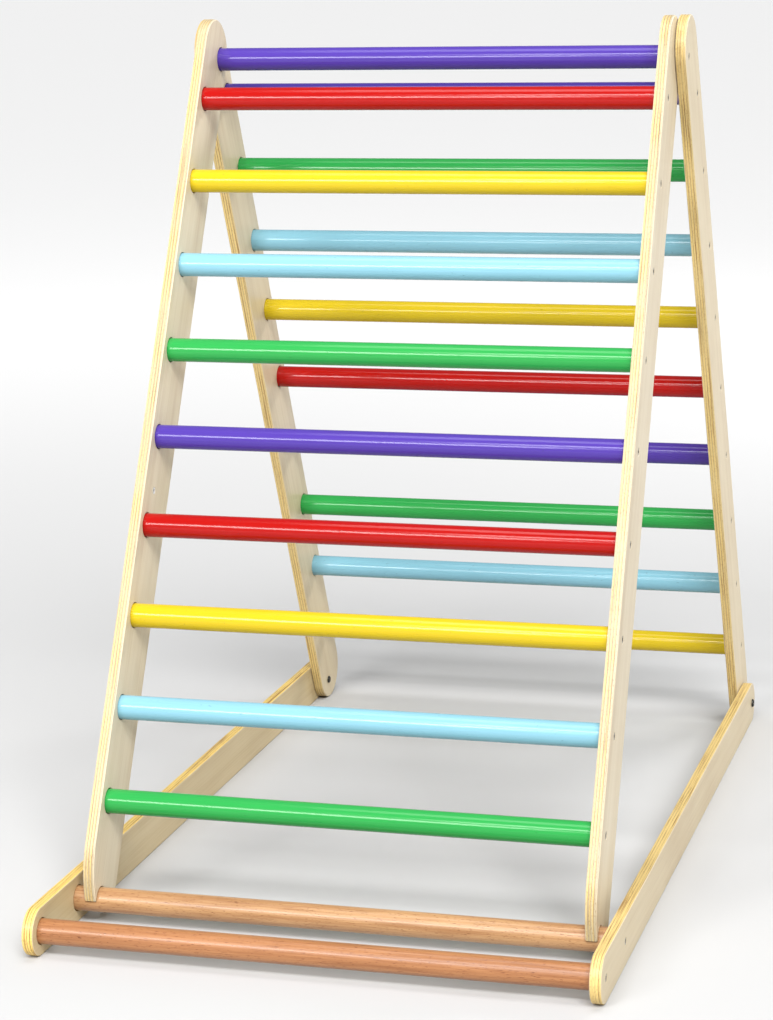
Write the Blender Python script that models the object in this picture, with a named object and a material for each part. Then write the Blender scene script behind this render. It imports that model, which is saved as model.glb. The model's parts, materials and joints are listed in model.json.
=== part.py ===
"""Folding climbing triangle for children: two ladders of round rungs, hinged together at the top.

The rear ladder turns on two bolts at the back of a base frame that lies on the floor. The front ladder
hangs from the hinge rod, and its forked feet stand on the base frame's seat rod.
Metres, +Z up, X across the object, +Y to its back. The origin is on the floor under the middle.
"""

from math import asin, cos, pi, radians, sin

import bmesh
import bpy
from mathutils import Vector

# Stock: round rods, plywood, and the gaps between the pieces.
ROD_RADIUS = 0.015
PLY = 0.014
GAP = 0.0003
SIDE_GAP = 0.0008
SOCKET_DEPTH = 0.007
INNER_WIDTH = 0.600

# A ladder panel, measured from the hinge axis down the panel and across it.
PANEL_WIDTH = 0.088
RUNG_INSET = 0.026
HINGE_INSET = 0.024
HINGE_RISE = 0.074
RUNG_PITCH = 0.116
RUNG_COUNT = 9
FRONT_LEAN = radians(27.75)
REAR_LEAN = radians(25.0)

# The ends of the panels, measured down from the lowest rung.
PIVOT_DROP = 0.083
PIVOT_FROM_RUNGS = 0.033
REAR_END_DROP = 0.0725
TAPER_DROP = 0.053
TAPER_RADIUS = 0.105
SEAT_DROP = 0.117
TINE_DROP = 0.122
NOTCH_CLEARANCE = 0.0006
HEEL_RADIUS = 0.012

# The base frame: stadium-shaped rails, round about the front rod and about the pivot bolt.
RAIL_HEIGHT = 0.058
ROD_SPACING = 0.115

# Fasteners.
SCREW_RADIUS = 0.0025
SCREW_HEAD_RADIUS = 0.0047
SCREW_HEAD_DEPTH = 0.0030
SCREW_LENGTH = 0.045
SCREW_RECESS = 0.0004
BOLT_RADIUS = 0.0030
BOLT_HEAD_RADIUS = 0.0060
BOLT_HEAD_DEPTH = 0.0030
BOLT_LENGTH = 0.026
HEX_RADIUS = 0.0023
HEX_DEPTH = 0.0015
NUT_RADIUS = 0.0045
NUT_LENGTH = 0.0165
NUT_FLOOR = 0.0025
NUT_HEAD_RADIUS = 0.0055
NUT_HEAD_DEPTH = 0.0026
INSERT_RADIUS = 0.0045
INSERT_BORE = 0.0022
INSERT_LENGTH = 0.008
INSERT_DOWN = 0.607
INSERT_ACROSS = 0.030

ROUND_STEPS = 24
END_STEPS = 18
TAPER_STEPS = 6
SMALL_STEPS = 12
CUT_OVERSHOOT = 0.001
SMOOTH_ANGLE = radians(35)

# Sizes that follow from those above.
RUNG_ACROSS = PANEL_WIDTH - RUNG_INSET - HINGE_INSET
OUTER_EDGE = PANEL_WIDTH - HINGE_INSET
MIDDLE = OUTER_EDGE - PANEL_WIDTH / 2
LAST_RUNG = HINGE_RISE + (RUNG_COUNT - 1) * RUNG_PITCH
PANEL_STEP = PLY + SIDE_GAP
HALF_INNER = INNER_WIDTH / 2
ROD_HEIGHT = RAIL_HEIGHT / 2

# The front ladder stands on the seat rod, and that sets the hinge's height and the seat rod's place.
SEAT_DOWN = LAST_RUNG + SEAT_DROP
HINGE_Z = ROD_HEIGHT + SEAT_DOWN * cos(FRONT_LEAN) - MIDDLE * sin(FRONT_LEAN)
SEAT_FROM_HINGE = -SEAT_DOWN * sin(FRONT_LEAN) - MIDDLE * cos(FRONT_LEAN)
PIVOT_DOWN = LAST_RUNG + PIVOT_DROP
PIVOT_ACROSS = RUNG_ACROSS - PIVOT_FROM_RUNGS
PIVOT_FROM_HINGE = PIVOT_DOWN * sin(REAR_LEAN) + PIVOT_ACROSS * cos(REAR_LEAN)
PIVOT_Z = HINGE_Z - PIVOT_DOWN * cos(REAR_LEAN) + PIVOT_ACROSS * sin(REAR_LEAN)

# The length runs from the rails' noses to the round ends of the rear panels, and Y = 0 halves it.
REAR_END_DOWN = LAST_RUNG + REAR_END_DROP
REAR_END_FROM_HINGE = REAR_END_DOWN * sin(REAR_LEAN) + MIDDLE * cos(REAR_LEAN) + PANEL_WIDTH / 2
NOSE_FROM_HINGE = SEAT_FROM_HINGE - ROD_SPACING - RAIL_HEIGHT / 2
HINGE_Y = -(NOSE_FROM_HINGE + REAR_END_FROM_HINGE) / 2
SEAT_Y = HINGE_Y + SEAT_FROM_HINGE
FRONT_ROD_Y = SEAT_Y - ROD_SPACING
PIVOT_Y = HINGE_Y + PIVOT_FROM_HINGE

SIDES = {"left": -1, "right": 1}
FRONT_COLOURS = ["red", "yellow", "light_blue", "green", "purple", "red", "yellow", "light_blue", "green"]
REAR_COLOURS = ["purple", "green", "light_blue", "yellow", "red", "purple", "green", "light_blue", "yellow"]
# Linear colour, roughness and metallic value of each finish.
FINISHES = {
    "birch_plywood": ((0.66, 0.54, 0.38), 0.45, 0.0),
    "beech": ((0.62, 0.33, 0.15), 0.40, 0.0),
    "purple_paint": ((0.13, 0.06, 0.50), 0.22, 0.0),
    "red_paint": ((0.72, 0.02, 0.015), 0.22, 0.0),
    "yellow_paint": ((0.90, 0.72, 0.03), 0.22, 0.0),
    "light_blue_paint": ((0.35, 0.75, 0.88), 0.22, 0.0),
    "green_paint": ((0.06, 0.52, 0.14), 0.22, 0.0),
    "zinc_steel": ((0.45, 0.44, 0.42), 0.35, 1.0),
    "black_steel": ((0.05, 0.05, 0.05), 0.35, 1.0),
}


def clear_scene():
    for item in list(bpy.data.objects):
        bpy.data.objects.remove(item, do_unlink=True)


def make_materials():
    made = {}
    for name, (colour, roughness, metallic) in FINISHES.items():
        material = bpy.data.materials.new(name)
        material.use_nodes = True
        shader = material.node_tree.nodes["Principled BSDF"]
        shader.inputs["Base Color"].default_value = (*colour, 1.0)
        shader.inputs["Roughness"].default_value = roughness
        shader.inputs["Metallic"].default_value = metallic
        made[name] = material
    return made


def make_empty(name, location, lean, parent=None):
    """An empty on a joint's axis, turned about X so that its Z runs up the ladder."""
    empty = bpy.data.objects.new(name, None)
    bpy.context.collection.objects.link(empty)
    empty.location = location
    empty.rotation_euler = (lean, 0, 0)
    empty.parent = parent
    return empty


def make_object(name, shape, finish, location=(0, 0, 0), parent=None):
    """Turn a bmesh into a named object with its finish. No finish makes it a hidden cutter."""
    bmesh.ops.recalc_face_normals(shape, faces=shape.faces)
    mesh = bpy.data.meshes.new(name)
    shape.to_mesh(mesh)
    shape.free()
    item = bpy.data.objects.new(name, mesh)
    bpy.context.collection.objects.link(item)
    item.location = location
    item.parent = parent
    if finish is None:
        item.hide_render = True
        item.display_type = "WIRE"
    else:
        mesh.materials.append(MATERIALS[finish])
        mesh.shade_smooth()
        mesh.set_sharp_from_angle(angle=SMOOTH_ANGLE)
    return item


def add_turned(shape, stations, across=0.0, up=0.0, steps=ROUND_STEPS, closed=False):
    """Add a solid turned about a line along X through (across, up). A station is (x, radius)."""
    rings = []
    for x, radius in stations:
        turns = [2 * pi * step / steps for step in range(steps)]
        ring = [shape.verts.new((x, across + radius * cos(turn), up + radius * sin(turn))) for turn in turns]
        rings.append(ring)
    pairs = list(zip(rings, rings[1:]))
    if closed:
        pairs.append((rings[-1], rings[0]))
    else:
        shape.faces.new(rings[0])
        shape.faces.new(rings[-1])
    for one, two in pairs:
        for step in range(steps):
            after = (step + 1) % steps
            shape.faces.new((one[step], one[after], two[after], two[step]))


def turned(name, stations, finish, location, parent=None, steps=ROUND_STEPS, closed=False):
    shape = bmesh.new()
    add_turned(shape, stations, steps=steps, closed=closed)
    return make_object(name, shape, finish, location, parent)


def arc(centre, radius, start, end, steps):
    """Points (across, up) on an arc, its angles counted from the across axis towards up."""
    points = []
    for step in range(steps + 1):
        angle = start + (end - start) * step / steps
        points.append((centre[0] + radius * cos(angle), centre[1] + radius * sin(angle)))
    return points


def plate(name, outline, x_middle, parent=None):
    """A sheet of plywood cut to an outline of (across, up) points, standing at x_middle."""
    shape = bmesh.new()
    face = shape.faces.new([shape.verts.new((-PLY / 2, across, up)) for across, up in outline])
    grown = bmesh.ops.extrude_face_region(shape, geom=[face])
    moved = [item for item in grown["geom"] if isinstance(item, bmesh.types.BMVert)]
    bmesh.ops.translate(shape, verts=moved, vec=(PLY, 0, 0))
    return make_object(name, shape, "birch_plywood", (x_middle, 0, 0), parent)


def cut(target, shape, name):
    """Cut a shape, given in the target's own space, out of the target."""
    cutter = make_object(name, shape, None, target.location, target.parent)
    modifier = target.modifiers.new(name, "BOOLEAN")
    modifier.operation = "DIFFERENCE"
    modifier.solver = "EXACT"
    modifier.object = cutter


def level_x(side, level):
    """Middle of a plywood side: level 0 is the front ladder, 1 the rear ladder and 2 the rails."""
    return side * (HALF_INNER + level * PANEL_STEP + PLY / 2)


def socket_stations(side):
    """A blind socket for a rod's end, in the inner face of a side."""
    inside = -side * PLY / 2
    radius = ROD_RADIUS + GAP
    return [(inside - side * CUT_OVERSHOOT, radius), (inside + side * SOCKET_DEPTH, radius)]


def screwed_socket_stations(side):
    """A blind socket with a countersunk screw hole through to the outer face."""
    outside = side * PLY / 2
    shank = SCREW_RADIUS + GAP
    head = SCREW_HEAD_RADIUS + GAP
    return socket_stations(side) + [
        (side * (SOCKET_DEPTH - PLY / 2), shank),
        (outside - side * (SCREW_RECESS + SCREW_HEAD_DEPTH), shank),
        (outside - side * SCREW_RECESS, head),
        (outside + side * CUT_OVERSHOOT, head),
    ]


def rod(name, finish, level, location, parent=None, pilot_holes=False):
    """A round rod between two sides, its ends in their sockets, drilled for a screw where asked."""
    half = HALF_INNER + level * PANEL_STEP + SOCKET_DEPTH - GAP
    stations = [(-half, ROD_RADIUS), (half, ROD_RADIUS)]
    if pilot_holes:
        bore = SCREW_RADIUS + GAP
        bottom = half - SCREW_LENGTH
        stations = [(-bottom, bore), (-half, bore)] + stations + [(half, bore), (bottom, bore)]
    return turned(name, stations, finish, location, parent)


def rod_screw(name, side, level, location, parent=None):
    """The countersunk wood screw that holds a rod to its side."""
    top = PLY / 2 - SCREW_RECESS
    tip = top - SCREW_LENGTH
    stations = [
        (side * top, SCREW_HEAD_RADIUS),
        (side * (top - SCREW_HEAD_DEPTH), SCREW_RADIUS),
        (side * (tip + SCREW_HEAD_DEPTH), SCREW_RADIUS),
        (side * tip, SCREW_RADIUS / 4),
    ]
    place = Vector((level_x(side, level), 0, 0)) + Vector(location)
    screw = turned(name, stations, "zinc_steel", place, parent, steps=SMALL_STEPS)
    slot = bmesh.new()
    add_turned(slot, [(side * (top - HEX_DEPTH), HEX_RADIUS), (side * (top + GAP), HEX_RADIUS)], steps=6)
    cut(screw, slot, name + "_socket_cutter")
    return screw


def rung_places(facing):
    """Rung axes (across, up) measured from the hinge axis. Facing is -1 on the front ladder, 1 on the rear."""
    return [(facing * RUNG_ACROSS, -HINGE_RISE - index * RUNG_PITCH) for index in range(RUNG_COUNT)]


def front_outline():
    """Front panel: round top, tapered shin, and a fork that stands over the seat rod."""
    middle = -MIDDLE
    taper_start = -LAST_RUNG - TAPER_DROP
    tine_end = -LAST_RUNG - TINE_DROP
    notch = (middle, -LAST_RUNG - SEAT_DROP)
    notch_radius = ROD_RADIUS + NOTCH_CLEARANCE
    notch_turn = asin((TINE_DROP - SEAT_DROP) / notch_radius)
    taper_turn = asin((taper_start - tine_end) / TAPER_RADIUS)
    heel = (HINGE_INSET - HEEL_RADIUS, tine_end + HEEL_RADIUS)
    outline = arc((middle, 0), PANEL_WIDTH / 2, 0, pi, END_STEPS)
    outline += arc((TAPER_RADIUS - OUTER_EDGE, taper_start), TAPER_RADIUS, pi, pi + taper_turn, TAPER_STEPS)
    outline += arc(notch, notch_radius, pi + notch_turn, -notch_turn, END_STEPS)
    outline += arc(heel, HEEL_RADIUS, -pi / 2, 0, TAPER_STEPS)
    return outline


def rear_outline(hinge):
    """Rear panel: a straight board with two round ends, measured from the pivot bolt."""
    across = hinge[0] + MIDDLE
    outline = arc((across, hinge[1]), PANEL_WIDTH / 2, 0, pi, END_STEPS)
    outline += arc((across, hinge[1] - REAR_END_DOWN), PANEL_WIDTH / 2, pi, 2 * pi, END_STEPS)
    return outline


def build_front_ladder(parent, hinge):
    """The front ladder turns on the hinge rod, so its own empty is on the rod's axis."""
    axis = make_empty("front_ladder_hinge_axis", (0, *hinge), -FRONT_LEAN - REAR_LEAN, parent)
    places = rung_places(-1)
    for word, side in SIDES.items():
        panel = plate("front_panel_" + word, front_outline(), level_x(side, 0), axis)
        holes = bmesh.new()
        for across, up in places:
            add_turned(holes, socket_stations(side), across, up)
        through = PLY / 2 + CUT_OVERSHOOT
        add_turned(holes, [(-through, ROD_RADIUS + GAP), (through, ROD_RADIUS + GAP)])
        inside = -side * PLY / 2
        bore = [(inside - side * CUT_OVERSHOOT, INSERT_RADIUS + GAP),
                (inside + side * (INSERT_LENGTH + GAP), INSERT_RADIUS + GAP)]
        add_turned(holes, bore, -INSERT_ACROSS, -INSERT_DOWN, SMALL_STEPS)
        cut(panel, holes, "front_holes_cutter_" + word)
        sleeve = [(inside, INSERT_RADIUS), (inside, INSERT_BORE),
                  (inside + side * INSERT_LENGTH, INSERT_BORE), (inside + side * INSERT_LENGTH, INSERT_RADIUS)]
        place = (level_x(side, 0), -INSERT_ACROSS, -INSERT_DOWN)
        turned("panel_insert_" + word, sleeve, "zinc_steel", place, axis, SMALL_STEPS, closed=True)
    for number, ((across, up), colour) in enumerate(zip(places, FRONT_COLOURS), start=1):
        rod(f"front_rung_{number}", colour + "_paint", 0, (0, across, up), axis)


def build_rear_ladder():
    """The rear ladder turns on the pivot bolts. The hinge rod is screwed between its panels."""
    axis = make_empty("rear_ladder_pivot_axis", (0, PIVOT_Y, PIVOT_Z), REAR_LEAN)
    hinge = (-PIVOT_ACROSS, PIVOT_DOWN)
    places = [(hinge[0] + across, hinge[1] + up) for across, up in rung_places(1)]
    for word, side in SIDES.items():
        panel = plate("rear_panel_" + word, rear_outline(hinge), level_x(side, 1), axis)
        holes = bmesh.new()
        for across, up in places:
            add_turned(holes, socket_stations(side), across, up)
        add_turned(holes, screwed_socket_stations(side), *hinge)
        through = PLY / 2 + CUT_OVERSHOOT
        add_turned(holes, [(-through, NUT_RADIUS + GAP), (through, NUT_RADIUS + GAP)])
        cut(panel, holes, "rear_holes_cutter_" + word)
        rod_screw("hinge_screw_" + word, side, 1, (0, *hinge), axis)
    for number, ((across, up), colour) in enumerate(zip(places, REAR_COLOURS), start=1):
        rod(f"rear_rung_{number}", colour + "_paint", 1, (0, across, up), axis)
    rod("hinge_rod", "purple_paint", 1, (0, *hinge), axis, pilot_holes=True)
    return axis, hinge


def cut_key(head, word, crown, side):
    """A hexagon socket in a fastener's head, whose top is at x = crown."""
    key = bmesh.new()
    add_turned(key, [(crown - side * HEX_DEPTH, HEX_RADIUS), (crown + side * GAP, HEX_RADIUS)], steps=6)
    cut(head, key, word + "_key_cutter")


def build_pivot(word, side):
    """A sleeve nut through the rear panel, its head on the inner face, and the bolt through the rail."""
    seat = -side * (PLY / 2 + GAP)
    crown = seat - side * NUT_HEAD_DEPTH
    nut_end = seat + side * NUT_LENGTH
    nut_floor = seat + side * NUT_FLOOR
    nut = [(crown, NUT_HEAD_RADIUS * 0.8), (seat - side * NUT_HEAD_DEPTH * 0.6, NUT_HEAD_RADIUS),
           (seat, NUT_HEAD_RADIUS), (seat, NUT_RADIUS), (nut_end, NUT_RADIUS),
           (nut_end, BOLT_RADIUS + GAP), (nut_floor, BOLT_RADIUS + GAP)]
    sleeve = turned("pivot_nut_" + word, nut, "black_steel", (level_x(side, 1), PIVOT_Y, PIVOT_Z))
    cut_key(sleeve, "nut_" + word, crown, -side)

    seat = side * (PLY / 2 + GAP)
    crown = seat + side * BOLT_HEAD_DEPTH
    bolt = [(crown, BOLT_HEAD_RADIUS * 0.8), (seat + side * BOLT_HEAD_DEPTH * 0.6, BOLT_HEAD_RADIUS),
            (seat, BOLT_HEAD_RADIUS), (seat, BOLT_RADIUS), (seat - side * BOLT_LENGTH, BOLT_RADIUS)]
    head = turned("pivot_bolt_" + word, bolt, "black_steel", (level_x(side, 2), PIVOT_Y, PIVOT_Z))
    cut_key(head, "bolt_" + word, crown, side)


def build_base_frame():
    """Two rails on edge, held apart by the seat rod and the front rod."""
    nose = (FRONT_ROD_Y, ROD_HEIGHT)
    tail = (PIVOT_Y, ROD_HEIGHT)
    outline = arc(tail, RAIL_HEIGHT / 2, -pi / 2, pi / 2, END_STEPS)
    outline += arc(nose, RAIL_HEIGHT / 2, pi / 2, 3 * pi / 2, END_STEPS)
    rods = {"seat_rod": SEAT_Y, "front_rod": FRONT_ROD_Y}
    for word, side in SIDES.items():
        rail = plate("rail_" + word, outline, level_x(side, 2))
        holes = bmesh.new()
        for y in rods.values():
            add_turned(holes, screwed_socket_stations(side), y, ROD_HEIGHT)
        through = PLY / 2 + CUT_OVERSHOOT
        bore = NUT_RADIUS + GAP
        add_turned(holes, [(-through, bore), (through, bore)], PIVOT_Y, PIVOT_Z)
        cut(rail, holes, "rail_holes_cutter_" + word)
        build_pivot(word, side)
        for name, y in rods.items():
            rod_screw(name + "_screw_" + word, side, 2, (0, y, ROD_HEIGHT))
    for name, y in rods.items():
        rod(name, "beech", 2, (0, y, ROD_HEIGHT), pilot_holes=True)


clear_scene()
MATERIALS = make_materials()
build_base_frame()
rear_axis, hinge_place = build_rear_ladder()
build_front_ladder(rear_axis, hinge_place)
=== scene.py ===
"""Looks of a child's folding climbing triangle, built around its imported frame.

Each CAD piece is stood for by a finer one: plywood with rounded arrises and glued layers, painted and
natural rods, countersunk screws, pivot bolts and inserts. Metres, +Z up, +Y towards the bolted back end.
"""

import json
from math import asin, atan2, cos, pi, radians, sin

import bmesh
import bpy
from mathutils import Matrix, Vector


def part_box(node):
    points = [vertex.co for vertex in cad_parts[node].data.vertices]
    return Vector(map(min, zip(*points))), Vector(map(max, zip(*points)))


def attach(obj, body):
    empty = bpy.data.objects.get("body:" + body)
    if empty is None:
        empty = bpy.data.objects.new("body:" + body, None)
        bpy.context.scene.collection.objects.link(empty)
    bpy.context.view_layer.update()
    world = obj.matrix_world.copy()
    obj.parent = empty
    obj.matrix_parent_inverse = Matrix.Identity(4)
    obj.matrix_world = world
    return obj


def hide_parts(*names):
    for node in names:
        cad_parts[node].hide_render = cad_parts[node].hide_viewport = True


# Stock and gaps, as in the CAD model.
RUNGS = 9
ROD_RADIUS = 0.015
ROD_END_CHAMFER = 0.0006
GAP = 0.0003
SOCKET_DEPTH = 0.007
PANEL_WIDTH = 0.088
HINGE_INSET = 0.024
OUTER_EDGE = PANEL_WIDTH - HINGE_INSET
MIDDLE = OUTER_EDGE - PANEL_WIDTH / 2

# The panels' ends, measured down from the lowest rung.
REAR_END_DROP = 0.0725
TAPER_DROP = 0.053
TAPER_RADIUS = 0.105
SEAT_DROP = 0.117
TINE_DROP = 0.122
NOTCH_CLEARANCE = 0.0006
HEEL_RADIUS = 0.012

# Edges of the plywood: how far its arrises are rounded.
ARRIS = 0.0016
ARRIS_STEPS = 5

# Fasteners.
SCREW_HEAD_RADIUS = 0.0047
SCREW_HEAD_DEPTH = 0.0030
SCREW_SHANK_RADIUS = 0.0025
SCREW_RECESS = 0.0004
HEX_RADIUS = 0.0023
HEX_DEPTH = 0.0015
HEX_POINT = 0.0003
SOCKET_REACH = HEX_RADIUS * 1.12
SOCKET_EASE = 0.0002
SCREW_RIM = 0.0003
BOLT_RADIUS = 0.0030
BOLT_HEAD_RADIUS = 0.0060
BOLT_HEAD_DEPTH = 0.0030
BOLT_LENGTH = 0.026
NUT_RADIUS = 0.0045
NUT_LENGTH = 0.0165
NUT_FLOOR = 0.0025
NUT_HEAD_RADIUS = 0.0055
NUT_HEAD_DEPTH = 0.0026
INSERT_RADIUS = 0.0045
INSERT_BORE = 0.0022
INSERT_LENGTH = 0.008
INSERT_RIM = 0.0003
INSERT_ROLL = 0.0006

# Shares of a button head's radius at its seat and at its flat crown, and of its depth where it is widest.
HEAD_FOOT = 0.96
CROWN = 0.62
FOOT_RISE = 0.1

# How finely curves are divided, and the play that the cut holes are given.
ROUND_STEPS = 64
SMALL_STEPS = 36
END_STEPS = 56
TAPER_STEPS = 20
DOME_STEPS = 6
CUT_OVERSHOOT = 0.001
SOCKET_PLAY = 0.0009
SOCKET_FLARE = 0.0004
SMOOTH_ANGLE = radians(38)
SHARPEST_CORNER = 0.5
MERGE_DISTANCE = 1e-7
SIDES = {"left": -1, "right": 1}

# Each piece's pattern is shifted across and along by its seed, so that no two pieces of wood look the same.
ACROSS_SHIFT = 0.37
ALONG_SHIFT = 0.73
SEEDS = {
    "front_panel": 2,
    "rear_panel": 6,
    "rail": 10,
    "front_rung": 20,
    "rear_rung": 40,
    "hinge_rod": 60,
    "seat_rod": 61,
    "front_rod": 62,
    "rod_screw": 70,
    "rung_screws": 71,
    "insert": 74,
    "pivot": 0,
}


# ---------------------------------------------------------------- the frame

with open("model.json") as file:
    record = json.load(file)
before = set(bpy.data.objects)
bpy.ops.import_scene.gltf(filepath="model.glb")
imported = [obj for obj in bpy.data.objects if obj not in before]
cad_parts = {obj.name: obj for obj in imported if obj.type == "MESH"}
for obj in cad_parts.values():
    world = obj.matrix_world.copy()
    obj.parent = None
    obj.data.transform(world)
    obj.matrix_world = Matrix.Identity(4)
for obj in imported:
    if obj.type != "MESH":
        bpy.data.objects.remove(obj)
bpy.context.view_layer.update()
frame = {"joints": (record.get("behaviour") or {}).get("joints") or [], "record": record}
record = frame["record"]
BODY_OF = {node: body for body, nodes in record["behaviour"]["bodies"].items() for node in nodes}
SLOT_OF = {part["node"]: part["material_slot"] for part in record["subparts"]}
JOINTS = {joint["name"]: joint for joint in frame["joints"]}
HINGE = Vector(JOINTS["apex_fold"]["pos_m"])
PIVOT = Vector(JOINTS["rear_ladder_tilt"]["pos_m"])


def centre(node):
    low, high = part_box(node)
    return (low + high) / 2


def half_size(node):
    low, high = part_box(node)
    return (high - low) / 2


def ladder_frame(name):
    """The matrix of a ladder: its origin on the hinge axis, its Z up the ladder, its Y across the panels."""
    up = centre(name + "_rung_1") - centre(f"{name}_rung_{RUNGS}")
    lean = atan2(-up.y, up.z)
    return Matrix.Translation(HINGE) @ Matrix.Rotation(lean, 4, "X")


LADDERS = {"front": ladder_frame("front"), "rear": ladder_frame("rear")}
PLY = 2 * half_size("rail_left").x


def rung_places(ladder):
    """Rung axes (across, up) in their ladder's own frame."""
    to_local = LADDERS[ladder].inverted()
    found = [to_local @ centre(f"{ladder}_rung_{number}") for number in range(1, RUNGS + 1)]
    return [(place.y, place.z) for place in found]


# ---------------------------------------------------------------- materials


def add(tree, kind, inputs=None, **settings):
    """Add a shader node. An input is a constant, or the output that feeds it."""
    made = tree.nodes.new("ShaderNode" + kind)
    for name, value in settings.items():
        setattr(made, name, value)
    for name, value in (inputs or {}).items():
        if isinstance(value, bpy.types.NodeSocket):
            tree.links.new(value, made.inputs[name])
        else:
            made.inputs[name].default_value = value
    return made


def maths(tree, operation, first, second=0.0, third=0.0):
    return add(tree, "Math", {0: first, 1: second, 2: third}, operation=operation).outputs[0]


def noise(tree, vector, scale, detail=3.0, roughness=0.5):
    made = add(tree, "TexNoise", {"Vector": vector, "Scale": scale, "Detail": detail, "Roughness": roughness})
    return made.outputs[0]


def stretched(tree, vector, scale):
    """The pattern's coordinates, scaled by an amount for each direction."""
    made = add(tree, "VectorMath", {0: vector, 1: scale}, operation="MULTIPLY")
    return made.outputs[0]


def ramp(tree, factor, stops, interpolation="LINEAR"):
    made = add(tree, "ValToRGB", {"Fac": factor})
    made.color_ramp.interpolation = interpolation
    elements = made.color_ramp.elements
    while len(elements) < len(stops):
        elements.new(0.5)
    for element, (position, colour) in zip(elements, stops):
        element.position = position
        element.color = (*colour, 1.0)
    return made.outputs[0]


def mixed(tree, factor, first, second, blend="MIX"):
    """Mix two colours, each a constant or an output."""
    made = add(tree, "Mix", data_type="RGBA", blend_type=blend)
    for socket, value in ((made.inputs[0], factor), (made.inputs[6], first), (made.inputs[7], second)):
        if isinstance(value, bpy.types.NodeSocket):
            tree.links.new(value, socket)
        elif isinstance(value, tuple):
            socket.default_value = (*value, 1.0)
        else:
            socket.default_value = value
    return made.outputs[2]


def new_material(name, **constants):
    """A material with constants set on its shader. Returns it, its tree, and its pattern coordinates."""
    material = bpy.data.materials.new(name)
    material.use_nodes = True
    tree = material.node_tree
    shader = tree.nodes["Principled BSDF"]
    for key, value in constants.items():
        shader.inputs[key.replace("_", " ").title().replace("Ior", "IOR")].default_value = value
    stock = add(tree, "Attribute", attribute_name="stock").outputs["Vector"]
    return material, tree, stock


def finish_material(tree, colour, roughness, height, distance):
    """Wire a pattern's colour, roughness and height into the shader."""
    shader = tree.nodes["Principled BSDF"]
    bump = add(tree, "Bump", {"Strength": 1.0, "Distance": distance, "Height": height})
    tree.links.new(colour, shader.inputs["Base Color"])
    tree.links.new(roughness, shader.inputs["Roughness"])
    tree.links.new(bump.outputs[0], shader.inputs["Normal"])


VENEER_PALE = (0.72, 0.64, 0.49)
VENEER = (0.66, 0.57, 0.41)
VENEER_DEEP = (0.56, 0.45, 0.30)
CREAM_LAYER = (0.385, 0.340, 0.250)
GOLD_LAYER = (0.66, 0.48, 0.165)
BROWN_LAYER = (0.26, 0.15, 0.055)
STREAK = (0.34, 0.20, 0.08)
WHITE = (1.0, 1.0, 1.0)
DARK_LAYER_PLACES = (0.25, 0.50, 0.76)
DARK_LAYER_HALF = 0.018
LAYER_WANDER = 0.0016

# How deep the surfaces' relief is.
PLYWOOD_RELIEF = 0.00008
BEECH_RELIEF = 0.00010
PAINT_RELIEF = 0.00003
STEEL_RELIEF = 0.00003


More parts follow.
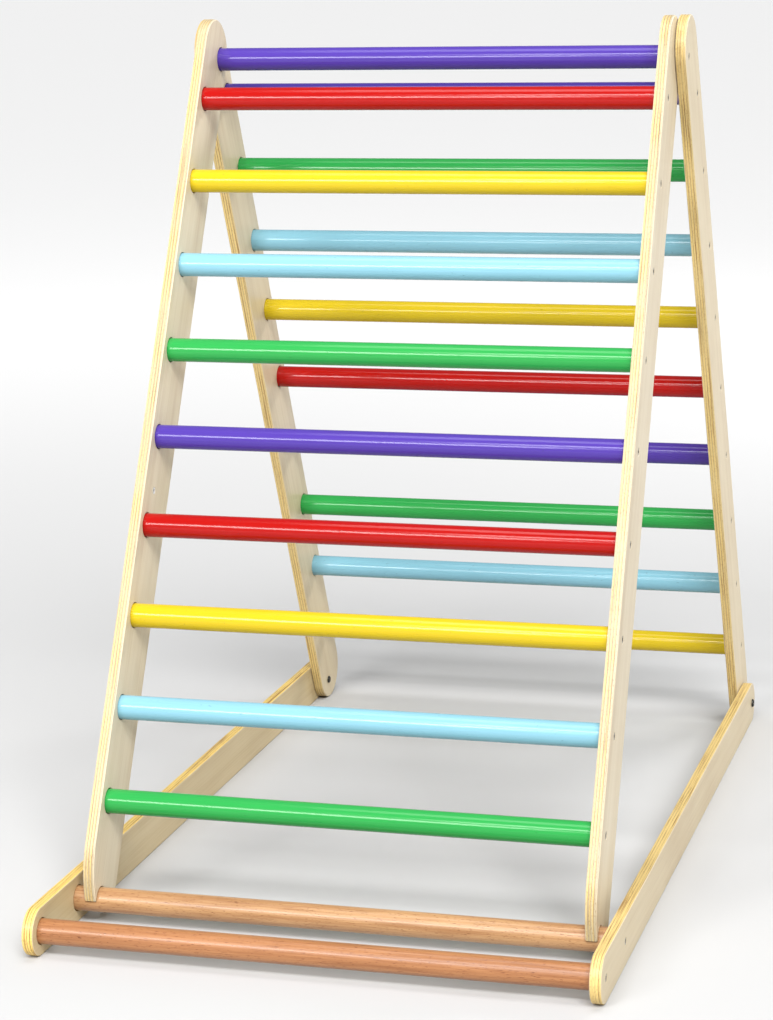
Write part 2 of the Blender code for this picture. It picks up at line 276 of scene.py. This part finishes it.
def plywood_material(name, age_and_shade):
    """Lacquered birch plywood, more golden and darker the more it is aged, above all on its cut edges; part
    of this is painted shade, given to pieces that sit in shade.

    The stock coordinates run through its thickness, across it and along its grain.
    """
    material, tree, stock = new_material(name, specular_ior_level=0.35, coat_weight=0.15, coat_roughness=0.25)
    # The pale layers go from cream to gold; on shaded pieces this is partly painted shade.
    pale = tuple(young + age_and_shade * (old - young) for young, old in zip(CREAM_LAYER, GOLD_LAYER))
    depth = add(tree, "SeparateXYZ", {0: stock}).outputs[0]
    wander = maths(tree, "SUBTRACT", noise(tree, stretched(tree, stock, (0, 14, 14)), 1.0, 2.0), 0.5)
    wandered = maths(tree, "MULTIPLY_ADD", wander, LAYER_WANDER, depth)
    share = maths(tree, "MULTIPLY_ADD", wandered, 1 / PLY, 0.5)

    # Through the thickness, pale layers alternate with thin dark ones.
    stops = [(0.0, pale)]
    for place in DARK_LAYER_PLACES:
        stops += [(place - 2 * DARK_LAYER_HALF, GOLD_LAYER), (place - DARK_LAYER_HALF, BROWN_LAYER)]
        stops += [(place + DARK_LAYER_HALF, BROWN_LAYER), (place + 2 * DARK_LAYER_HALF, pale)]
    layers = ramp(tree, share, stops)
    patches = noise(tree, stretched(tree, stock, (60, 22, 22)), 1.0, 3.0)
    worn = ramp(tree, patches, [(0.40, WHITE), (0.66, (0.35, 0.35, 0.35))])
    layers = mixed(tree, worn, pale, layers)

    # Brown streaks and pores follow the cut layers.
    streaks = noise(tree, stretched(tree, stock, (620, 9, 9)), 1.0, 3.0, 0.6)
    streaky = ramp(tree, streaks, [(0.35, STREAK), (0.46, WHITE)])
    pores = noise(tree, stretched(tree, stock, (1100, 330, 330)), 1.0, 2.0)
    pitted = ramp(tree, pores, [(0.33, (0.50, 0.36, 0.22)), (0.45, WHITE)])
    edges = mixed(tree, min(0.40 + 0.45 * age_and_shade, 1.0), layers, streaky, "MULTIPLY")
    edges = mixed(tree, 0.5, edges, pitted, "MULTIPLY")

    # The faces show the veneer: fibres along the grain, with slow drifts of tone across a sheet.
    fibres = noise(tree, stretched(tree, stock, (0, 460, 7)), 1.0, 5.0, 0.6)
    bands = noise(tree, stretched(tree, stock, (0, 60, 1.2)), 1.0, 3.0)
    drift = noise(tree, stretched(tree, stock, (0, 7, 4)), 1.0, 2.0)
    figure = maths(tree, "MULTIPLY_ADD", fibres, 0.42, maths(tree, "MULTIPLY", bands, 0.28))
    figure = maths(tree, "MULTIPLY_ADD", drift, 0.30, figure)
    # The veneer darkens and warms the same way, partly as painted shade.
    tint = (1.0 - 0.09 * age_and_shade, 1.0 - 0.14 * age_and_shade, 1.0 - 0.26 * age_and_shade)
    stops = []
    for place, tone in ((0.36, VENEER_DEEP), (0.50, VENEER), (0.64, VENEER_PALE)):
        stops.append((place, tuple(value * share for value, share in zip(tone, tint))))
    veneer = ramp(tree, figure, stops)
    outside = maths(tree, "GREATER_THAN", maths(tree, "ABSOLUTE", depth), PLY / 2 - ARRIS * 0.5)
    colour = mixed(tree, outside, edges, veneer)
    roughness = maths(tree, "MULTIPLY_ADD", fibres, 0.20, 0.34)
    height = maths(tree, "MULTIPLY_ADD", pores, 0.3, fibres)
    finish_material(tree, colour, roughness, height, PLYWOOD_RELIEF)
    return material


def beech_material(name, pale, deep):
    """Turned beech under clear lacquer: fine fibres along the rod, and short dark flecks."""
    material, tree, stock = new_material(name, specular_ior_level=0.4, coat_weight=0.15, coat_roughness=0.14)
    broad = noise(tree, stretched(tree, stock, (5, 130, 130)), 1.0, 4.0, 0.6)
    fibres = noise(tree, stretched(tree, stock, (20, 800, 800)), 1.0, 4.0, 0.6)
    fleck = noise(tree, stretched(tree, stock, (150, 1200, 1200)), 1.0, 1.0)
    tone = maths(tree, "MULTIPLY_ADD", broad, 0.55, maths(tree, "MULTIPLY", fibres, 0.45))
    wood = ramp(tree, tone, [(0.38, deep), (0.58, pale)])
    marks = ramp(tree, fleck, [(0.29, (0.40, 0.25, 0.16)), (0.36, WHITE)])
    colour = mixed(tree, 0.85, wood, marks, "MULTIPLY")
    roughness = maths(tree, "MULTIPLY_ADD", fibres, 0.20, 0.28)
    height = maths(tree, "MULTIPLY_ADD", fleck, 0.5, fibres)
    finish_material(tree, colour, roughness, height, BEECH_RELIEF)
    return material


def paint_material(name, colour):
    """Gloss paint on a turned rod: a faint wood grain below it, and the soft ripple of a dipped coat."""
    material, tree, stock = new_material(name, specular_ior_level=0.22, coat_weight=0.05, coat_roughness=0.05)
    ripple = noise(tree, stretched(tree, stock, (30, 110, 110)), 1.0, 2.0)
    grain = noise(tree, stretched(tree, stock, (14, 600, 600)), 1.0, 3.0)
    shade = tuple(value * 0.82 for value in colour)
    dull = tuple(value * 0.62 for value in colour)
    specks = noise(tree, stretched(tree, stock, (210, 420, 420)), 1.0, 1.0)
    speck = ramp(tree, specks, [(0.735, (0.0, 0.0, 0.0)), (0.775, WHITE)])
    tinted = mixed(tree, speck, mixed(tree, grain, colour, shade), dull)
    roughness = maths(tree, "MULTIPLY_ADD", ripple, 0.08, 0.12)
    roughness = maths(tree, "MULTIPLY_ADD", speck, 0.15, roughness)
    height = maths(tree, "MULTIPLY_ADD", grain, 0.12, ripple)
    height = maths(tree, "MULTIPLY_ADD", speck, 0.8, height)
    finish_material(tree, tinted, roughness, height, PAINT_RELIEF)
    return material


def metal_material(name, colour, worn, roughness, socket_highlight=None):
    """Plated or blackened steel, with fine turning marks. A pale socket colour, where given, is a painted
    highlight inside a hexagon socket.
    """
    material, tree, stock = new_material(name, metallic=1.0)
    patches = noise(tree, stock, 700.0, 4.0, 0.6)
    turning = noise(tree, stretched(tree, stock, (300, 5000, 5000)), 1.0, 2.0)
    tinted = ramp(tree, patches, [(0.40, colour), (0.72, worn)])
    # Painted highlight: the inside of the hexagon socket is coloured pale.
    if socket_highlight:
        across = stretched(tree, stock, (0, 1, 1))
        reach = add(tree, "VectorMath", {0: across}, operation="LENGTH").outputs["Value"]
        inside = maths(tree, "LESS_THAN", reach, SOCKET_REACH)
        tinted = mixed(tree, inside, tinted, socket_highlight)
    rough = maths(tree, "MULTIPLY_ADD", patches, 0.16, roughness)
    finish_material(tree, tinted, rough, turning, STEEL_RELIEF)
    return material


PAINTS = {
    "purple_paint": (0.067, 0.035, 0.280),
    "red_paint": (0.345, 0.0045, 0.003),
    "yellow_paint": (0.560, 0.405, 0.012),
    "light_blue_paint": (0.205, 0.425, 0.520),
    "green_paint": (0.025, 0.300, 0.060),
}
MATERIALS = {slot: paint_material(slot, colour) for slot, colour in PAINTS.items()}
# The rear panels and the left rail are made more golden and darker partly as painted shade: the rear panels'
# seen edges face down, and the left rail's seen face lies in shade between the rods.
FRONT_PLYWOOD = plywood_material("pale_plywood", age_and_shade=0.15)
REAR_PLYWOOD = plywood_material("warm_plywood", age_and_shade=0.65)
RAIL_PLYWOOD = {
    "left": plywood_material("amber_plywood", age_and_shade=1.40),
    "right": plywood_material("golden_plywood", age_and_shade=0.90),
}
# The screws' steel is darker than the inserts' partly as painted shade.
SCREW_STEEL = metal_material(
    "screw_steel", colour=(0.26, 0.24, 0.21), worn=(0.44, 0.42, 0.38), roughness=0.34)
INSERT_STEEL = metal_material(
    "insert_steel", colour=(0.78, 0.77, 0.74), worn=(0.92, 0.91, 0.88), roughness=0.42)
# Its pale socket colour is a painted highlight.
BLACK_STEEL = metal_material(
    "black_steel", colour=(0.035, 0.033, 0.030), worn=(0.10, 0.095, 0.085), roughness=0.14,
    socket_highlight=(0.50, 0.47, 0.41))
FRONT_ROD_BEECH = beech_material("beech_warm", pale=(0.360, 0.158, 0.062), deep=(0.245, 0.094, 0.033))
SEAT_ROD_BEECH = beech_material("beech_pale", pale=(0.430, 0.245, 0.112), deep=(0.290, 0.140, 0.058))


# ---------------------------------------------------------------- mesh tools


def hex_radius(apothem, turn):
    return apothem / cos((turn % (pi / 3)) - pi / 6)


def add_turned(shape, stations, across=0.0, up=0.0, steps=ROUND_STEPS, closed=False):
    """Add a solid turned about a line along X. A station is (x, radius), or (x, radius, "hex")."""
    turns = [2 * pi * step / steps for step in range(steps)]
    rings = []
    for x, radius, *form in stations:
        ring = []
        for turn in turns:
            reach = hex_radius(radius, turn) if form else radius
            ring.append(shape.verts.new((x, across + reach * cos(turn), up + reach * sin(turn))))
        rings.append(ring)
    pairs = list(zip(rings, rings[1:]))
    if closed:
        pairs.append((rings[-1], rings[0]))
    else:
        shape.faces.new(rings[0])
        shape.faces.new(rings[-1])
    for one, two in pairs:
        for step in range(steps):
            after = (step + 1) % steps
            shape.faces.new((one[step], one[after], two[after], two[step]))


def arc(middle, radius, start, end, steps):
    """Points (across, up) on an arc, its angles counted from the across axis towards up."""
    angles = [start + (end - start) * step / steps for step in range(steps + 1)]
    return [(middle[0] + radius * cos(angle), middle[1] + radius * sin(angle)) for angle in angles]


def inset(outline, distance):
    """Move an anticlockwise outline inwards."""
    moved = []
    for index, point in enumerate(outline):
        here = Vector(point)
        before = (here - Vector(outline[index - 1])).normalized()
        after = (Vector(outline[(index + 1) % len(outline)]) - here).normalized()
        bisector = Vector((-before.y - after.y, before.x + after.x)).normalized()
        square = Vector((-before.y, before.x))
        moved.append(tuple(here + bisector * (distance / max(bisector.dot(square), SHARPEST_CORNER))))
    return moved


def board(outline):
    """A bmesh of a sheet of plywood cut to an outline, with its arrises rounded."""
    shape = bmesh.new()
    quarter = [pi / 2 * step / ARRIS_STEPS for step in range(ARRIS_STEPS + 1)]
    profile = [(-PLY / 2 + ARRIS * (1 - sin(turn)), ARRIS * (1 - cos(turn))) for turn in reversed(quarter)]
    profile += [(-x, depth) for x, depth in reversed(profile)]
    rings = []
    for x, depth in profile:
        rings.append([shape.verts.new((x, across, up)) for across, up in inset(outline, depth)])
    for one, two in zip(rings, rings[1:]):
        for index in range(len(outline)):
            after = (index + 1) % len(outline)
            shape.faces.new((one[index], one[after], two[after], two[index]))
    shape.faces.new(rings[0])
    shape.faces.new(rings[-1])
    return shape


def to_mesh(name, shape):
    bmesh.ops.remove_doubles(shape, verts=shape.verts, dist=MERGE_DISTANCE)
    bmesh.ops.recalc_face_normals(shape, faces=shape.faces)
    mesh = bpy.data.meshes.new(name)
    shape.to_mesh(mesh)
    shape.free()
    return mesh


def to_object(name, mesh):
    made = bpy.data.objects.new(name, mesh)
    bpy.context.scene.collection.objects.link(made)
    return made


def without(name, shape, holes):
    """The mesh of a shape with its holes cut out."""
    solid = to_object(name, to_mesh(name, shape))
    cutter = to_object(name + "_holes", to_mesh(name + "_holes", holes))
    modifier = solid.modifiers.new("holes", "BOOLEAN")
    modifier.operation = "DIFFERENCE"
    modifier.solver = "EXACT"
    modifier.object = cutter
    bpy.context.view_layer.update()
    mesh = bpy.data.meshes.new_from_object(solid.evaluated_get(bpy.context.evaluated_depsgraph_get()))
    mesh.name = name
    bpy.data.objects.remove(solid)
    bpy.data.objects.remove(cutter)
    return mesh


def store_stock(mesh, seed):
    """Keep each point's place in its own piece, shifted by the piece's seed, for the patterns to follow."""
    stock = mesh.attributes.new("stock", "FLOAT_VECTOR", "POINT")
    shift = Vector((0, ACROSS_SHIFT * seed, ALONG_SHIFT * seed))
    for point, value in zip(mesh.vertices, stock.data):
        value.vector = point.co + shift


def place_piece(name, mesh, material, matrix, seed, node=None, body=None):
    """Finish a mesh, put it in its place and give it its body. With a node, it stands for that CAD node."""
    store_stock(mesh, seed)
    mesh.transform(matrix)
    mesh.materials.clear()
    mesh.materials.append(material)
    mesh.shade_smooth()
    mesh.set_sharp_from_angle(angle=SMOOTH_ANGLE)
    piece = to_object(name, mesh)
    weighted = piece.modifiers.new("flat_faces", "WEIGHTED_NORMAL")
    weighted.keep_sharp = True
    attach(piece, BODY_OF[node] if node else body)
    if node:
        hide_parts(node)
    return piece


# ---------------------------------------------------------------- holes


def flared(side, face, radius, depth, flare):
    """A hole from a face in the direction of a side, with its mouth eased by a flare."""
    mouth = radius + flare
    return [
        (face - side * CUT_OVERSHOOT, mouth),
        (face, mouth),
        (face + side * flare, radius),
        (face + side * depth, radius),
    ]


def screw_hole_stations(side):
    """A countersunk hole in the outer face of a side."""
    outside = side * PLY / 2
    head = SCREW_HEAD_RADIUS + GAP
    mouth = head + SCREW_RECESS
    deepest = outside - side * (SCREW_RECESS + SCREW_HEAD_DEPTH + GAP)
    return [
        (deepest, SCREW_SHANK_RADIUS),
        (outside - side * SCREW_RECESS, head),
        (outside, mouth),
        (outside + side * CUT_OVERSHOOT, mouth),
    ]


def drill_rods(holes, side, places):
    """Sockets for rods on the inner face, with their screw holes on the outer face."""
    socket = flared(side, -side * PLY / 2, ROD_RADIUS + SOCKET_PLAY, SOCKET_DEPTH, SOCKET_FLARE)
    for across, up in places:
        add_turned(holes, socket, across, up)
        add_turned(holes, screw_hole_stations(side), across, up, SMALL_STEPS)


def add_bore(holes, radius, across, up):
    """A plain hole right through a sheet of plywood."""
    through = PLY / 2 + CUT_OVERSHOOT
    add_turned(holes, [(-through, radius), (through, radius)], across, up, SMALL_STEPS)


# ---------------------------------------------------------------- plywood


def front_outline(lowest_rung):
    """Front panel: round top, tapered shin, and a fork that stands over the seat rod."""
    taper_start = lowest_rung - TAPER_DROP
    tine_end = lowest_rung - TINE_DROP
    notch = (-MIDDLE, lowest_rung - SEAT_DROP)
    notch_radius = ROD_RADIUS + NOTCH_CLEARANCE
    notch_turn = asin((TINE_DROP - SEAT_DROP) / notch_radius)
    taper_turn = asin((taper_start - tine_end) / TAPER_RADIUS)
    heel = (HINGE_INSET - HEEL_RADIUS, tine_end + HEEL_RADIUS)
    outline = arc((-MIDDLE, 0), PANEL_WIDTH / 2, 0, pi, END_STEPS)
    outline += arc((TAPER_RADIUS - OUTER_EDGE, taper_start), TAPER_RADIUS, pi, pi + taper_turn, TAPER_STEPS)
    outline += arc(notch, notch_radius, pi + notch_turn, -notch_turn, END_STEPS // 2)
    outline += arc(heel, HEEL_RADIUS, -pi / 2, 0, TAPER_STEPS)
    return outline


def stadium(first, second, radius):
    """Outline of a straight board with two round ends, from its second end's near side to its first."""
    direction = atan2(first[1] - second[1], first[0] - second[0])
    outline = arc(first, radius, direction - pi / 2, direction + pi / 2, END_STEPS)
    return outline + arc(second, radius, direction + pi / 2, direction + 3 * pi / 2, END_STEPS)


def build_front_panels():
    places = rung_places("front")
    matrix = LADDERS["front"]
    for word, side in SIDES.items():
        node = "front_panel_" + word
        holes = bmesh.new()
        drill_rods(holes, side, places)
        inside = -side * PLY / 2
        hinge_bore = flared(side, inside, ROD_RADIUS + SOCKET_PLAY, PLY + CUT_OVERSHOOT, SOCKET_FLARE)
        add_turned(holes, hinge_bore)
        insert = matrix.inverted() @ centre("panel_insert_" + word)
        bore = INSERT_RADIUS + GAP
        stations = [(inside - side * CUT_OVERSHOOT, bore), (inside + side * (INSERT_LENGTH + GAP), bore)]
        add_turned(holes, stations, insert.y, insert.z, SMALL_STEPS)
        mesh = without(node + "_ply", board(front_outline(places[-1][1])), holes)
        place = matrix @ Matrix.Translation((centre(node).x, 0, 0))
        place_piece(node + "_ply", mesh, FRONT_PLYWOOD, place, SEEDS["front_panel"] + side, node)


def build_rear_panels():
    places = rung_places("rear")
    matrix = LADDERS["rear"]
    pivot = matrix.inverted() @ PIVOT
    lower_end = (MIDDLE, places[-1][1] - REAR_END_DROP)
    for word, side in SIDES.items():
        node = "rear_panel_" + word
        holes = bmesh.new()
        drill_rods(holes, side, [(0, 0), *places])
        add_bore(holes, NUT_RADIUS + GAP, pivot.y, pivot.z)
        mesh = without(node + "_ply", board(stadium((MIDDLE, 0), lower_end, PANEL_WIDTH / 2)), holes)
        place = matrix @ Matrix.Translation((centre(node).x, 0, 0))
        place_piece(node + "_ply", mesh, REAR_PLYWOOD, place, SEEDS["rear_panel"] + side, node)


def build_rails():
    radius = half_size("rail_left").z
    nose = (centre("front_rod").y, centre("front_rod").z)
    seat = (centre("seat_rod").y, centre("seat_rod").z)
    tail = (PIVOT.y, radius)
    for word, side in SIDES.items():
        node = "rail_" + word
        holes = bmesh.new()
        drill_rods(holes, side, [nose, seat])
        add_bore(holes, NUT_RADIUS + GAP, PIVOT.y, PIVOT.z)
        mesh = without(node + "_ply", board(stadium(tail, nose, radius)), holes)
        # A rail's grain runs along it, so its pattern is stored with its length as Z.
        turn = Matrix.Rotation(pi / 2, 4, "X")
        mesh.transform(turn)
        place = Matrix.Translation((centre(node).x, 0, 0)) @ turn.inverted()
        place_piece(node + "_ply", mesh, RAIL_PLYWOOD[word], place, SEEDS["rail"] + side, node)


# ---------------------------------------------------------------- rods


def build_rod(node, material, seed):
    half = half_size(node).x
    chamfer = ROD_RADIUS - ROD_END_CHAMFER
    shape = bmesh.new()
    stations = [
        (-half, chamfer),
        (-half + ROD_END_CHAMFER, ROD_RADIUS),
        (half - ROD_END_CHAMFER, ROD_RADIUS),
        (half, chamfer),
    ]
    add_turned(shape, stations)
    name = node + "_turned"
    turn = Matrix.Rotation(seed, 4, "X")
    place_piece(name, to_mesh(name, shape), material, Matrix.Translation(centre(node)) @ turn, seed, node)


def build_rods():
    for ladder in LADDERS:
        for number in range(1, RUNGS + 1):
            node = f"{ladder}_rung_{number}"
            build_rod(node, MATERIALS[SLOT_OF[node]], SEEDS[ladder + "_rung"] + number)
    for node, material in (
        ("hinge_rod", MATERIALS["purple_paint"]),
        ("seat_rod", SEAT_ROD_BEECH),
        ("front_rod", FRONT_ROD_BEECH),
    ):
        build_rod(node, material, SEEDS[node])


# ---------------------------------------------------------------- fasteners


def build_steel(node, stations, material, place, seed, closed=False):
    """Turn a fastener about its own X axis, with its origin at a place. It stands for a CAD node."""
    name = node + "_steel"
    shape = bmesh.new()
    add_turned(shape, stations, steps=SMALL_STEPS, closed=closed)
    place_piece(name, to_mesh(name, shape), material, Matrix.Translation(place), seed, node)


def key_socket(top, side):
    """Stations of a hexagon socket, from its floor out to its mouth in the top of a head."""
    return [
        (top - side * (HEX_DEPTH + HEX_POINT), HEX_RADIUS / 2),
        (top - side * HEX_DEPTH, HEX_RADIUS, "hex"),
        (top - side * SOCKET_EASE, HEX_RADIUS, "hex"),
        (top, HEX_RADIUS + SOCKET_EASE, "hex"),
    ]


def add_screw(shape, side, top, across, up, length):
    """A countersunk screw with a hexagon socket in the top of its head."""
    stations = [
        *key_socket(top, side),
        (top, SCREW_HEAD_RADIUS - SOCKET_EASE),
        (top - side * SCREW_RIM, SCREW_HEAD_RADIUS),
        (top - side * SCREW_HEAD_DEPTH, SCREW_SHANK_RADIUS),
        (top - side * (length - SCREW_HEAD_DEPTH), SCREW_SHANK_RADIUS),
        (top - side * length, SCREW_SHANK_RADIUS / 4),
    ]
    add_turned(shape, stations, across, up, SMALL_STEPS)


def build_screws():
    """The hinge rod's and base rods' screws stand for CAD nodes. The rungs' screws ride on the ladders."""
    top = PLY / 2 - SCREW_RECESS
    for word, side in SIDES.items():
        for rod in ("hinge", "seat_rod", "front_rod"):
            node = f"{rod}_screw_{word}"
            length = 2 * half_size(node).x
            shape = bmesh.new()
            add_screw(shape, side, side * length / 2, 0, 0, length)
            name = node + "_steel"
            place = Matrix.Translation(centre(node))
            place_piece(name, to_mesh(name, shape), SCREW_STEEL, place, SEEDS["rod_screw"], node)
        length = 2 * half_size("hinge_screw_left").x
        for ladder in LADDERS:
            shape = bmesh.new()
            for across, up in rung_places(ladder):
                add_screw(shape, side, side * top, across, up, length)
            name = f"{ladder}_rung_screws_{word}"
            place = LADDERS[ladder] @ Matrix.Translation((centre(f"{ladder}_panel_{word}").x, 0, 0))
            place_piece(name, to_mesh(name, shape), SCREW_STEEL, place, SEEDS["rung_screws"],
                        body=ladder + "_ladder")


def button_head(seat, side, radius, depth):
    """Stations of a round head with a hexagon socket, from its seat on the wood to the socket's floor."""
    crown = seat + side * depth
    turns = [pi / 2 * step / DOME_STEPS for step in range(1, DOME_STEPS + 1)]
    dome = [(seat + side * depth * sin(turn), radius * (CROWN + (1 - CROWN) * cos(turn))) for turn in turns]
    return [
        (seat, radius * HEAD_FOOT),
        (seat + side * depth * FOOT_RISE, radius),
        *dome,
        *reversed(key_socket(crown, side)),
    ]


def build_pivots():
    """A black button-head bolt through each rail, and the sleeve nut that it enters in the rear panel."""
    for word, side in SIDES.items():
        seat = side * (PLY / 2 + GAP)
        stations = [(seat - side * BOLT_LENGTH, BOLT_RADIUS), (seat, BOLT_RADIUS)]
        stations += button_head(seat, side, BOLT_HEAD_RADIUS, BOLT_HEAD_DEPTH)
        place = Vector((centre("rail_" + word).x, PIVOT.y, PIVOT.z))
        build_steel("pivot_bolt_" + word, stations, BLACK_STEEL, place, SEEDS["pivot"])

        seat = -seat
        end = seat + side * NUT_LENGTH
        bore = BOLT_RADIUS + GAP
        stations = [(seat + side * NUT_FLOOR, bore), (end, bore), (end, NUT_RADIUS), (seat, NUT_RADIUS)]
        stations += button_head(seat, -side, NUT_HEAD_RADIUS, NUT_HEAD_DEPTH)
        place = Vector((centre("rear_panel_" + word).x, PIVOT.y, PIVOT.z))
        build_steel("pivot_nut_" + word, stations, BLACK_STEEL, place, SEEDS["pivot"])


def build_inserts():
    """A small metal sleeve in the inner face of each front panel, with a rolled rim."""
    for word, side in SIDES.items():
        node = "panel_insert_" + word
        half = half_size(node).x
        inside = -side * half
        stations = [
            (inside + side * INSERT_RIM, INSERT_RADIUS),
            (-inside, INSERT_RADIUS),
            (-inside, INSERT_BORE),
            (inside + side * INSERT_ROLL, INSERT_BORE),
            (inside, INSERT_BORE + INSERT_ROLL),
            (inside, INSERT_RADIUS - INSERT_RIM),
        ]
        build_steel(node, stations, INSERT_STEEL, centre(node), SEEDS["insert"], closed=True)


# ---------------------------------------------------------------- the studio

# The camera's film width and lens in millimetres, its lens shift, and its place and turns.
SENSOR = 36.0
LENS = 98.4459
LENS_SHIFT = -0.107843
CAMERA_PLACE = (0.9212, -3.4589, 1.1954)
CAMERA_YAW = radians(15.795)
CAMERA_PITCH = radians(9.866)
CAMERA_ROLL = radians(-1.187)
CLIP_END = 200.0

# The floor grows paler away from the object. The walls darken towards the ceiling.
FLOOR_RADIUS = 60.0
FLOOR_STEPS = 96
FLOOR_FADE = 5.5
FADE_START = 0.15
FLOOR_ROUGHNESS = 0.9
FLOOR_NEAR = (0.48, 0.48, 0.48)
FLOOR_FAR = (0.92, 0.92, 0.92)
WALL = (0.70, 0.70, 0.70)
CEILING = (0.25, 0.25, 0.25)
CEILING_HEIGHT = 0.55

# Lights. A softbox has a name, a place, a width and height, and a power in watts.
LIT_POINT = (0.0, 0.0, 0.5)
KEY_FROM = (0.35, -0.65, 0.68)
KEY_STRENGTH = 3.2
KEY_ANGLE = radians(28)
SOFTBOXES = (
    ("left_softbox", (-1.45, -4.0, 2.2), 1.6, 0.8, 100),
    ("right_softbox", (-0.15, -3.4, 3.35), 1.6, 0.8, 80),
    ("overhead_softbox", (0.0, -0.4, 4.2), 2.4, 1.6, 64),
    ("back_softbox", (2.4, 3.2, 2.4), 1.6, 0.8, 60),
)


def build_camera():
    data = bpy.data.cameras.new("camera")
    data.sensor_width = SENSOR
    data.lens = LENS
    data.shift_y = LENS_SHIFT
    data.clip_end = CLIP_END
    camera = bpy.data.objects.new("camera", data)
    bpy.context.scene.collection.objects.link(camera)
    turn = Matrix.Rotation(CAMERA_YAW, 4, "Z") @ Matrix.Rotation(pi / 2 - CAMERA_PITCH, 4, "X")
    turn = turn @ Matrix.Rotation(CAMERA_ROLL, 4, "Z")
    camera.matrix_world = Matrix.Translation(CAMERA_PLACE) @ turn
    bpy.context.scene.camera = camera


def build_floor():
    shape = bmesh.new()
    bmesh.ops.create_circle(shape, cap_ends=True, segments=FLOOR_STEPS, radius=FLOOR_RADIUS)
    floor = to_object("studio_floor", to_mesh("studio_floor", shape))
    paint = bpy.data.materials.new("floor_paint")
    paint.use_nodes = True
    tree = paint.node_tree
    shader = tree.nodes["Principled BSDF"]
    shader.inputs["Roughness"].default_value = FLOOR_ROUGHNESS
    place = add(tree, "TexCoord").outputs["Object"]
    distance = add(tree, "VectorMath", {0: place}, operation="LENGTH").outputs["Value"]
    away = maths(tree, "DIVIDE", distance, FLOOR_FADE)
    fade = ramp(tree, away, [(FADE_START, FLOOR_NEAR), (1.0, FLOOR_FAR)], "EASE")
    tree.links.new(fade, shader.inputs["Base Color"])
    floor.data.materials.append(paint)


def build_world():
    """Pale studio walls under a dimmer ceiling."""
    world = bpy.data.worlds.new("studio")
    world.use_nodes = True
    tree = world.node_tree
    direction = add(tree, "TexCoord").outputs["Generated"]
    height = add(tree, "SeparateXYZ", {0: direction}).outputs[2]
    walls = ramp(tree, height, [(0.0, WALL), (CEILING_HEIGHT, CEILING)])
    tree.links.new(walls, tree.nodes["Background"].inputs["Color"])
    bpy.context.scene.world = world


def build_lights():
    for name, place, width, height, power in SOFTBOXES:
        data = bpy.data.lights.new(name, "AREA")
        data.shape = "RECTANGLE"
        data.size = width
        data.size_y = height
        data.energy = power
        lamp = to_object(name, data)
        lamp.location = place
        lamp.rotation_euler = (Vector(LIT_POINT) - Vector(place)).to_track_quat("-Z", "Y").to_euler()
    data = bpy.data.lights.new("key_light", "SUN")
    data.energy = KEY_STRENGTH
    data.angle = KEY_ANGLE
    lamp = to_object("key_light", data)
    lamp.rotation_euler = Vector(KEY_FROM).to_track_quat("Z", "Y").to_euler()


build_front_panels()
build_rear_panels()
build_rails()
build_rods()
build_screws()
build_pivots()
build_inserts()
build_camera()
build_floor()
build_world()
build_lights()
bpy.context.scene.view_settings.view_transform = "Standard"
